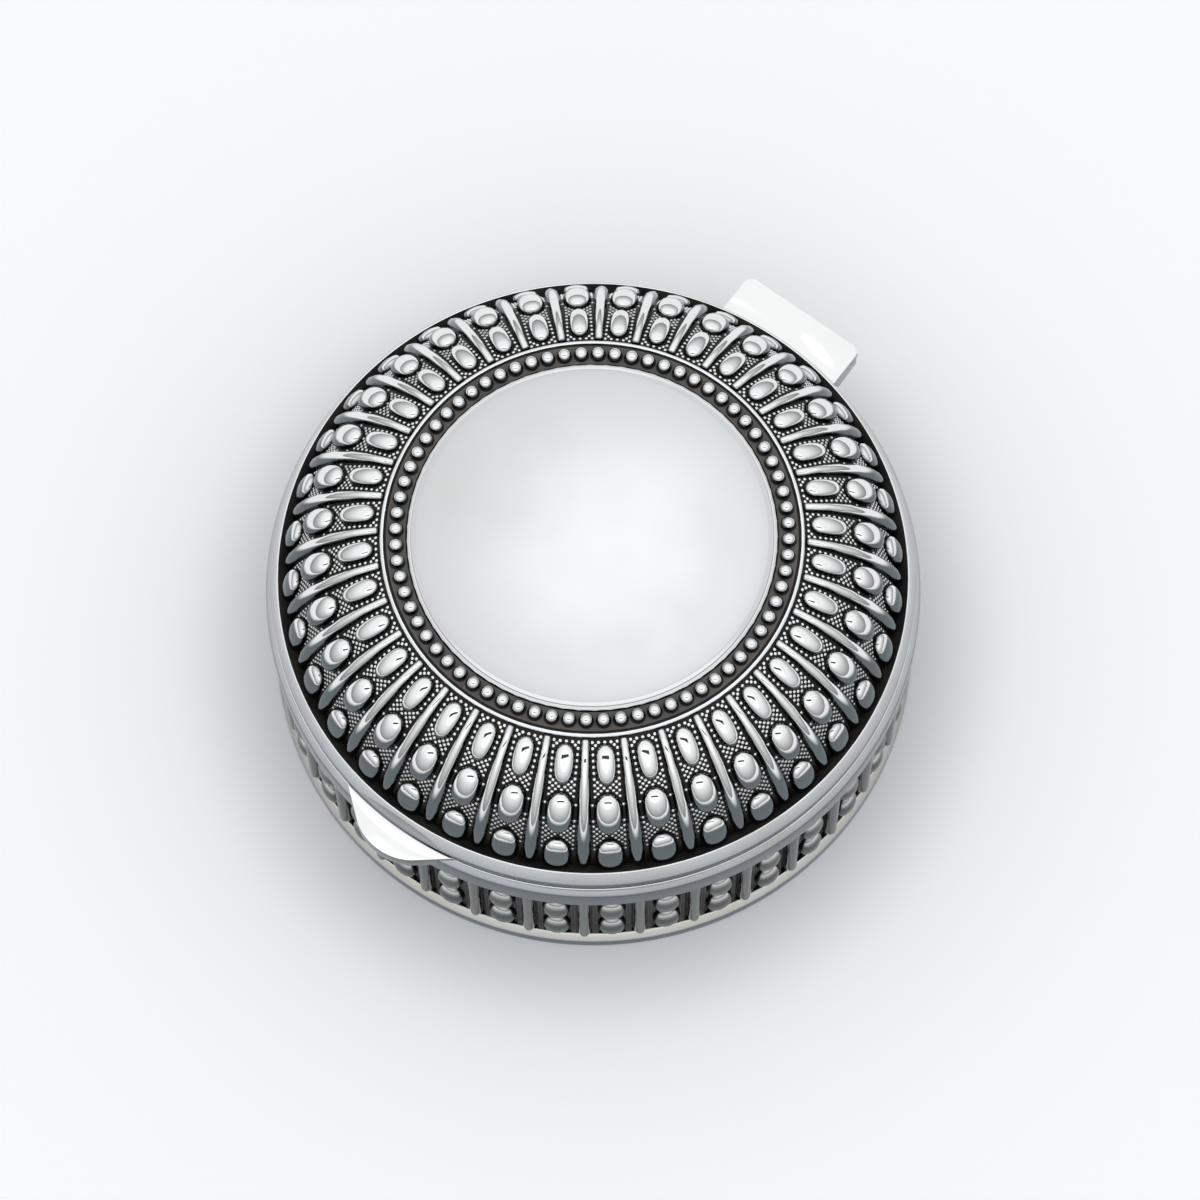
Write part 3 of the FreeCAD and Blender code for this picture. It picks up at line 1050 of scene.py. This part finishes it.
@dataclass
class Wall(Embossed):
    """The embossed wall of the body."""

    ovals: tuple[Oval, ...] = (Oval(6.35, 7.0, 4.4, 1.7, 0.0, 0.1), Oval(14.3, 7.0, 4.4, 1.7, 0.0, 0.1))
    rib: tuple[Rib, ...] = (
        Rib(2.95, 0.8, 0.7), Rib(3.15, 1.5, 1.2), Rib(3.7, 2.1, 1.6), Rib(4.8, 2.3, 1.75),
        Rib(21.35, 2.3, 1.75),
    )
    dots_start: float = 3.6
    dots_end: float = 21.2
    dot_diameter: float = 0.4
    dot_height: float = 0.08
    relief_finish: Finish = WALL_SILVER
    radius: float = 48.9
    foot: float = 2.9
    top: float = 26.18
    levels: int = 12

    def ground(self, place: float) -> tuple[Vector, float]:
        """Finds the wall's point at a height."""
        return Vector((self.radius, 0, place)), math.pi / 2

    def lift(self, point: Vector) -> float:
        """Height of a point off the wall."""
        return math.hypot(point.x, point.y) - self.radius

    def plain_sheet(self) -> Piece:
        """Turns the sheet that the ornament stands on.

        Returns:
            The sheet.
        """
        inside = self.radius - self.sheet
        height = self.top - self.foot
        levels = [self.foot + height * step / self.levels for step in range(self.levels + 1)]
        section = [(self.radius, level) for level in levels] + [(inside, level) for level in reversed(levels)]
        piece = dressed(turned("body_wall_sheet", section, COLUMNS * 6), WALL_GROUND)
        set_lift(piece, [0.0] * len(piece.data.vertices))
        return piece

    def build(self) -> None:
        """Builds the wall with all its ornament."""
        piece = joined("body_wall_embossed", [self.plain_sheet(), self.ornament()])
        finished(piece, Body.BASE, Slot.OXIDISED, "body_wall")


@dataclass
class LidTop:
    """The polished disc in the middle of the lid and the beaded wire round it."""

    seat: float = 46.1
    disc_top: float = 46.6
    disc_radius: float = 28.08
    disc_crown: float = 0.12
    disc_rings: tuple[float, ...] = (6.0, 12.0, 18.0, 22.0, 25.0, 26.6)
    disc_dip: float = 0.03
    border: float = 27.3
    border_depth: float = 0.14
    border_inner: float = 0.3
    border_outer: float = 0.2
    strip_inner: float = 28.18
    strip_outer: float = 31.18
    strip_top: float = 46.35
    beads: int = 72
    bead_circle: float = 29.66
    bead_diameter: float = 2.15
    bead_centre: float = 46.8
    bead_foot: float = 2.55
    bead_foot_height: float = 0.12
    bead_foot_share: float = 0.9
    bead_root: float = 0.15
    bead_foot_root: float = 0.02

    def disc(self) -> None:
        """Turns the disc, with a narrow lip at its border."""
        top, border = self.disc_top, self.border
        section = [(0.0, top + self.disc_crown)]
        section += [
            (r, top + self.disc_crown * (1 - (r / border) ** 2) - self.disc_dip) for r in self.disc_rings]
        section += softened((
            (border - self.border_inner, top - self.disc_dip, 0.0), (border, top - self.border_depth, 0.1),
            (border + self.border_outer, top, 0.12), (self.disc_radius, top, 0.25),
            (self.disc_radius, self.seat, 0.0)), 4)[:-1]
        section += [(self.disc_radius, self.seat), (0.0, self.seat)]
        piece = dressed(turned("lid_disc", section, 180, closed=False), DISC_SILVER)
        finished(piece, Body.LID, Slot.POLISHED, "lid_plate")

    def bead_wire(self) -> None:
        """Sets the beads on their strip."""
        strip = dressed(turned("lid_bead_strip", softened((
            (self.strip_inner, self.seat, 0.0), (self.strip_outer, self.seat, 0.0),
            (self.strip_outer, self.strip_top, 0.08), (self.strip_inner, self.strip_top, 0.08)), 2), 216), CHANNEL)
        set_lift(strip, [0.0] * len(strip.data.vertices))
        deselect()
        bpy.ops.mesh.primitive_uv_sphere_add(
            segments=20, ring_count=12, radius=self.bead_diameter / 2 * MM,
            location=(self.bead_circle * MM, 0, self.bead_centre * MM), rotation=(0, math.pi / 2, 0))
        bead = named("lid_bead")
        with editing(bead):
            bpy.ops.mesh.bisect(
                plane_co=(0, 0, (self.strip_top - self.bead_root) * MM), plane_no=(0, 0, 1),
                use_fill=True, clear_inner=True)
        set_lift(bead, [v.co.z / MM - self.strip_top for v in bead.data.vertices])
        dressed(bead, BEAD_SILVER)
        # Each bead stands on a low ring in the ground's dark finish, darker round its foot.
        deselect()
        bpy.ops.mesh.primitive_cone_add(
            vertices=20, radius1=self.bead_foot / 2 * MM,
            radius2=self.bead_diameter / 2 * self.bead_foot_share * MM, depth=self.bead_foot_height * MM,
            location=(self.bead_circle * MM, 0,
                      (self.strip_top + self.bead_foot_height / 2 - self.bead_foot_root) * MM))
        foot = dressed(named("lid_bead_foot"), GROUND)
        set_lift(foot, [0.0] * len(foot.data.vertices))
        bead = joined("lid_bead", [bead, foot])
        repeated(bead, self.beads)
        smooth(bead, angle=60.0)
        piece = joined("lid_bead_wire", [strip, bead])
        finished(piece, Body.LID, Slot.OXIDISED, "lid_bead_ring")

    def build(self) -> None:
        """Builds the disc and the beads."""
        self.disc()
        self.bead_wire()


@dataclass
class Rims:
    """The plain turned rings: the lid's rim, the body's rim and the base ring."""

    steps: int = 216
    shelf_edge: float = 48.4
    lid: Corners = (
        (45.5, 27.2, 0.0), (49.8, 27.2, 0.2), (49.8, 28.75, 0.9), (48.72, 31.25, 0.25), (48.5, 31.1, 0.08),
        (46.95, 30.1, 0.0), (46.95, 29.5, 0.0), (45.5, 29.5, 0.0),
    )
    body: Corners = (
        (46.5, 26.2, 0.0), (49.13, 26.2, 0.0), (49.13, 21.4, 0.0), (50.75, 21.4, 0.3), (50.75, 25.75, 1.3),
        (49.9, 27.0, 0.3), (46.5, 27.0, 0.3),
    )
    base: Corners = (
        (46.2, 0.0, 0.0), (50.8, 0.0, 0.25), (50.8, 2.15, 0.35), (49.75, 2.9, 0.4), (46.2, 2.9, 0.0),
    )

    def build(self) -> None:
        """Turns the three rings."""
        rings = (
            ("lid_rim_ring", self.lid, RIM_SILVER, Body.LID, "lid_rim"),
            ("body_rim_ring", self.body, BODY_RIM_SILVER, Body.BASE, "body_rim"),
            ("base_ring_bevelled", self.base, BASE_SILVER, Body.BASE, "base_ring"),
        )
        for name, corners, finish, body, node in rings:
            piece = dressed(turned(name, softened(corners), self.steps), finish, GROOVE)
            for face in piece.data.polygons:
                on_shelf = reach_of(face.center) < self.shelf_edge and face.normal.z > 0.5
                face.material_index = int(on_shelf and body is Body.LID)
            finished(piece, body, Slot.POLISHED, node)


@dataclass
class Handles:
    """The flat pieces soldered to the lid's rim: the thumb tab and the plate over the hinge."""

    rim_radius: float = 49.84
    bottom: float = 27.2
    tab_front: float = 54.6
    tab_nose: float = 8.7
    tab_flank: float = 39.0
    tab_thickness: float = 0.8
    plate_width: float = 21.6
    plate_rear: float = 55.9
    plate_thickness: float = 0.9
    plate_corner: float = 1.5
    plate_root: float = 2.0
    lip_drop: float = 1.9
    lip_radius: float = 51.2
    edge: float = 0.2
    root: float = 5.0
    reach: float = 20.0

    def cut_round(self, piece: Piece, radius: float, top: float) -> None:
        """Cuts a blank by a cylinder round the box's axis.

        Args:
            piece: The blank.
            radius: Radius of the cylinder.
            top: Height of its upper end.
        """
        deselect()
        bpy.ops.mesh.primitive_cylinder_add(
            vertices=720, radius=radius * MM, depth=self.reach * MM,
            location=(0, 0, (top - self.reach / 2) * MM),
        )
        cutter = bpy.context.object
        applied(piece, "BOOLEAN", operation="DIFFERENCE", object=cutter)
        activate(cutter)
        bpy.ops.object.delete()

    def ease(self, piece: Piece) -> None:
        """Eases a piece's sharp edges and shades the rest smooth.

        Args:
            piece: The piece.
        """
        applied(
            piece, "BEVEL", width=self.edge * MM, segments=4,
            limit_method="ANGLE", angle_limit=math.radians(40),
        )
        smooth(piece, angle=30.0)

    def tab(self) -> None:
        """Makes the thumb tab from a three-sided blank, with a round nose and a lip turned down."""
        flank = math.radians(self.tab_flank)
        peak = self.tab_front + self.tab_nose / math.cos(flank) - self.tab_nose
        deep = peak - self.rim_radius + self.root
        half_width = deep / math.tan(flank)
        height = self.tab_thickness + self.lip_drop
        # The middle of a three-sided blank lies two thirds of its depth from the corner.
        to_middle = deep / 1.5
        deselect()
        bpy.ops.mesh.primitive_cylinder_add(
            vertices=3, radius=1.0, depth=1.0, rotation=(0, 0, math.pi),
            location=(0, (to_middle - peak) * MM, (self.bottom + self.tab_thickness - height / 2) * MM))
        piece = named("thumb_tab_polished", (
            half_width / math.cos(math.radians(30)) * MM, to_middle * MM, height * MM))
        self.round_corners(piece, -peak, self.tab_nose * math.tan(flank), steps=48)
        self.cut_round(piece, self.rim_radius, self.bottom + self.reach / 2)
        self.cut_round(piece, self.lip_radius, self.bottom)
        self.ease(piece)
        finished(dressed(piece, BRIGHT_SILVER), Body.LID, Slot.POLISHED, "thumb_tab")

    def round_corners(self, piece: Piece, place: float, reach: float, steps: int) -> None:
        """Rounds a blank's upright edges at one place along Y.

        Args:
            piece: The blank.
            place: Where the edges stand, in millimetres.
            reach: How far the rounding reaches along the sides.
            steps: Steps of the rounding.
        """
        with editing(piece):
            bpy.ops.mesh.select_mode(type="EDGE")
            bpy.ops.mesh.select_all(action="DESELECT")
        for edge in piece.data.edges:
            ends = [piece.data.vertices[v].co for v in edge.vertices]
            upright = abs(ends[0].z - ends[1].z) > TOUCH
            edge.select = upright and all(abs(end.y - place * MM) < TOUCH for end in ends)
        bpy.ops.object.mode_set(mode="EDIT")
        bpy.ops.mesh.bevel(offset=reach * MM, offset_type="OFFSET", segments=steps, affect="EDGES")
        bpy.ops.mesh.select_mode(type="VERT")
        bpy.ops.object.mode_set(mode="OBJECT")

    def plate(self) -> None:
        """Makes the plate over the hinge from a square blank with rounded rear corners."""
        deep = self.plate_rear - self.rim_radius + self.plate_root
        deselect()
        bpy.ops.mesh.primitive_cube_add(
            size=MM,
            location=(0, (self.plate_rear - deep / 2) * MM, (self.bottom + self.plate_thickness / 2) * MM),
        )
        piece = named("hinge_cover_plate", (self.plate_width, deep, self.plate_thickness))
        self.round_corners(piece, self.plate_rear, self.plate_corner, steps=10)
        self.cut_round(piece, self.rim_radius, self.bottom + self.reach / 2)
        self.ease(piece)
        finished(dressed(piece, BRIGHT_SILVER), Body.LID, Slot.POLISHED, "lid_hinge_plate")

    def build(self) -> None:
        """Makes the tab and the plate."""
        self.tab()
        self.plate()


@dataclass
class Lining:
    """The soft pieces: velvet on the wall, padded discs in the floor and the lid, and felt underneath."""

    steps: int = 120
    frames: int = 20
    pressure: float = 4.0
    point_mass: float = 0.002
    slack: float = -0.02
    pad_swell: float = 0.45
    pad_rings: int = 15
    floor_crown: float = 0.5
    lid_crown: float = -0.4
    held_edge: float = 0.1
    wall_swell: float = 0.25
    wall_held: Pair = (4.2, 25.4)
    wall_back: float = 0.2
    wall_cuts: tuple[int, ...] = tuple(range(5, 25, 2))
    wall: Corners = (
        (47.75, 3.8, 0.0), (47.75, 26.0, 0.45), (46.72, 26.0, 0.5), (46.72, 3.8, 0.2))
    floor: Section = (
        (46.0, 4.95), (46.3, 5.4), (46.15, 6.0), (45.5, 6.35))
    lid: Section = (
        (42.5, 34.85), (42.8, 34.4), (42.65, 33.9), (42.0, 33.5))
    felt: Corners = (
        (45.85, 2.85, 0.0), (45.85, 0.05, 0.4))

    def inflate(self, piece: Piece, held: Sequence[int], limit: float) -> None:
        """Puffs a piece up by a short cloth simulation under pressure.

        Args:
            piece: The piece.
            held: Points that stay where they are.
            limit: How far a point may move, in millimetres.
        """
        rest = [v.co.copy() for v in piece.data.vertices]
        group = piece.vertex_groups.new(name="held")
        group.add(list(held), 1.0, "REPLACE")
        activate(piece)
        cloth = piece.modifiers.new("puff", "CLOTH")
        cloth.settings.use_pressure = True
        cloth.settings.uniform_pressure_force = self.pressure
        cloth.settings.mass = self.point_mass
        cloth.settings.shrink_min = self.slack
        cloth.settings.effector_weights.gravity = 0.0
        cloth.settings.vertex_group_mass = group.name
        cloth.point_cache.frame_start = 1
        cloth.point_cache.frame_end = self.frames
        for step in range(1, self.frames + 1):
            bpy.context.scene.frame_set(step)
        bpy.ops.object.modifier_apply(modifier=cloth.name)
        bpy.context.scene.frame_set(1)
        for point, start in zip(piece.data.vertices, rest):
            move = point.co - start
            if move.length > limit * MM:
                point.co = start + move.normalized() * limit * MM
        piece.vertex_groups.clear()
        applied(piece, "SUBSURF", levels=1, render_levels=1)
        smooth(piece, angle=80.0)

    def pad(self, name: str, edge: Section, crown: float, body: Body, node: str) -> None:
        """Makes a padded velvet disc.

        Args:
            name: Its name.
            edge: Its side, from the flat face to the crowned one.
            crown: How far the crowned face rises to its middle.
            body: The body that it moves with.
            node: The CAD node that it stands for.
        """
        flat_level = edge[0][1]
        reach, level = edge[-1]
        section = [(0.0, flat_level), (reach / 2, flat_level), *edge]
        for ring in reversed(range(self.pad_rings)):
            share = ring / self.pad_rings
            section.append((reach * share, level + crown * (1 - share ** 2)))
        piece = turned(name, section, self.steps, closed=False)
        held = [v.index for v in piece.data.vertices
                if abs(v.co.z / MM - flat_level) < self.held_edge or reach_of(v.co) > reach - self.held_edge]
        self.inflate(piece, held, self.pad_swell)
        finished(dressed(piece, VELVET), body, Slot.VELVET, node)

    def wall_cloth(self) -> None:
        """Makes the padded velvet round the wall, held at its back, its top and its foot."""
        piece = turned("wall_lining_velvet", softened(self.wall, 4), self.steps)
        inner = self.wall[2][0]
        with editing(piece):
            for level in self.wall_cuts:
                bpy.ops.mesh.select_all(action="SELECT")
                bpy.ops.mesh.bisect(plane_co=(0, 0, level * MM), plane_no=(0, 0, 1))
        low, high = self.wall_held
        held = [v.index for v in piece.data.vertices
                if reach_of(v.co) > inner + self.wall_back or not low < v.co.z / MM < high]
        self.inflate(piece, held, self.wall_swell)
        finished(dressed(piece, VELVET), Body.BASE, Slot.VELVET, "wall_lining")

    def build(self) -> None:
        """Makes the four soft pieces."""
        self.wall_cloth()
        self.pad("floor_pad_velvet", self.floor, self.floor_crown, Body.BASE, "floor_pad")
        self.pad("lid_pad_velvet", self.lid, self.lid_crown, Body.LID, "lid_pad")
        (top_radius, top, _), (radius, bottom, rounding) = self.felt
        rim = softened(((radius - 3, bottom, 0.0), (radius, bottom, rounding), (top_radius, top, 0.0)), 4)[1:-1]
        section = [
            (0.0, bottom), (radius / 3, bottom), (radius / 1.5, bottom), *rim, (top_radius, top), (0.0, top)]
        piece = turned("base_felt_disc", section, self.steps, closed=False)
        finished(dressed(piece, FELT), Body.BASE, Slot.FELT, "base_felt")


@dataclass
class Studio:
    """Camera, floor and the white tent of light round the box."""

    camera_place: Spot = (157.084, -202.877, 705.877)
    camera_turn: Spot = (20.46634, 0.30118, 36.7136)
    azimuth: float = 37.75
    lens: float = 140.637
    sensor: float = 36.0
    nearest: float = 10.0
    floor_radius: float = 20000.0
    tent: str = "#fbfdff"
    tent_rise: float = 0.65
    tent_levels: Pair = (0.28, 1.05)
    box_edges: Pair = (0.82, 0.9)
    box_level: float = 0.4
    glow_spot: Spot = (8.0, -1.0, 46.7)
    glow_angle: float = 3.4
    glow_level: float = 0.58
    slit_sizes: tuple[Pair, ...] = ((0.44, 0.04), (0.09, 0.02))
    slit_level: float = 0.04

    def camera(self) -> None:
        """Sets up the camera at the photograph's viewing angle."""
        deselect()
        bpy.ops.object.camera_add(
            location=Vector(self.camera_place) * MM, rotation=[math.radians(a) for a in self.camera_turn])
        camera = bpy.context.object
        camera.data.lens = self.lens
        camera.data.sensor_width = self.sensor
        camera.data.clip_start = self.nearest * MM
        bpy.context.scene.camera = camera

    def floor(self) -> None:
        """Lays the pale floor, with its painted shadow round the box."""
        deselect()
        bpy.ops.mesh.primitive_circle_add(vertices=64, radius=self.floor_radius * MM, fill_type="NGON")
        floor = bpy.context.object
        floor.name = "studio_floor"
        dressed(floor, FLOOR_PAPER)

    def mirrored(self, spot: Sequence[float]) -> Vector:
        """Direction that the camera sees mirrored in a level surface.

        Args:
            spot: Point on the surface, in millimetres.

        Returns:
            The direction.
        """
        ray = (Vector(spot) - Vector(self.camera_place)).normalized()
        return Vector((ray.x, ray.y, -ray.z))

    def world(self) -> None:
        """Makes the tent: grey at the horizon and white overhead, with a glow and a slit for the lens."""
        world = bpy.data.worlds.new("light_tent")
        bpy.context.scene.world = world
        world.use_nodes = True
        tree = world.node_tree
        background = tree.nodes["Background"]
        way = add_node(tree, "ShaderNodeTexCoord", "Generated")
        rise = add_node(tree, "ShaderNodeSeparateXYZ", "Z", {"Vector": way})
        low, high = self.tent_levels
        tent = add_node(
            tree, "ShaderNodeMapRange", "Result",
            {"Value": rise, "From Max": self.tent_rise, "To Min": low, "To Max": high},
        )
        aim = Vector(self.camera_place).normalized()
        over = add_node(tree, "ShaderNodeVectorMath", "Value", {0: way, 1: aim}, operation="DOT_PRODUCT")
        toward = add_node(
            tree, "ShaderNodeVectorMath", "Value",
            {0: way, 1: self.mirrored(self.glow_spot)},
            operation="DOT_PRODUCT",
        )
        glow_edges = (math.cos(math.radians(self.glow_angle)), 1.0)
        light = tent
        for near, (start, end), bright in (
            (over, self.box_edges, self.box_level), (toward, glow_edges, self.glow_level),
        ):
            more = add_node(
                tree, "ShaderNodeMapRange", "Result",
                {"Value": near, "From Min": start, "From Max": end, "To Max": bright},
                interpolation_type="SMOOTHSTEP",
            )
            light = add_node(tree, "ShaderNodeMath", "Value", {0: light, 1: more}, operation="ADD")
        turn = math.radians(self.azimuth)
        right = Vector((math.cos(turn), math.sin(turn), 0))
        slit = add_node(tree, "ShaderNodeMath", "Value", {0: over, 1: 0.0}, operation="GREATER_THAN")
        for axis, (half, soft) in zip((right, aim.cross(right)), self.slit_sizes):
            off = add_node(tree, "ShaderNodeVectorMath", "Value", {0: way, 1: axis}, operation="DOT_PRODUCT")
            far = add_node(tree, "ShaderNodeMath", "Value", {0: off}, operation="ABSOLUTE")
            inside = add_node(
                tree, "ShaderNodeMapRange", "Result",
                {"Value": far, "From Min": half - soft, "From Max": half + soft, "To Min": 1.0, "To Max": 0.0},
            )
            slit = add_node(tree, "ShaderNodeMath", "Value", {0: slit, 1: inside}, operation="MULTIPLY")
        keep = add_node(
            tree, "ShaderNodeMapRange", "Result",
            {"Value": slit, "To Min": 1.0, "To Max": self.slit_level},
        )
        level = add_node(tree, "ShaderNodeMath", "Value", {0: light, 1: keep}, operation="MULTIPLY")
        plug(tree, background, {"Strength": level, "Color": linear(self.tent)})

    def build(self) -> None:
        """Sets up the camera, the floor and the light."""
        self.camera()
        self.floor()
        self.world()
        bpy.context.scene.view_settings.view_transform = "Standard"


def main() -> None:
    """Builds the box's pieces in order, then the studio."""
    logging.basicConfig(level=logging.INFO, format="%(name)s: %(message)s")
    for part in (Dome(), LidTop(), Rims(), Wall(), Handles(), Lining()):
        part.build()
    plain = (
        ("lid_knuckle", HINGE_SILVER), ("body_knuckles", HINGE_SILVER), ("hinge_bracket", HINGE_SILVER),
        ("hinge_pin", STEEL), ("body_floor", INSIDE_SILVER), ("floor_card", CARD), ("lid_card", CARD),
    )
    for node, finish in plain:
        dressed(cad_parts[node], finish)
    Studio().build()


if __name__ == "__main__":
    main()
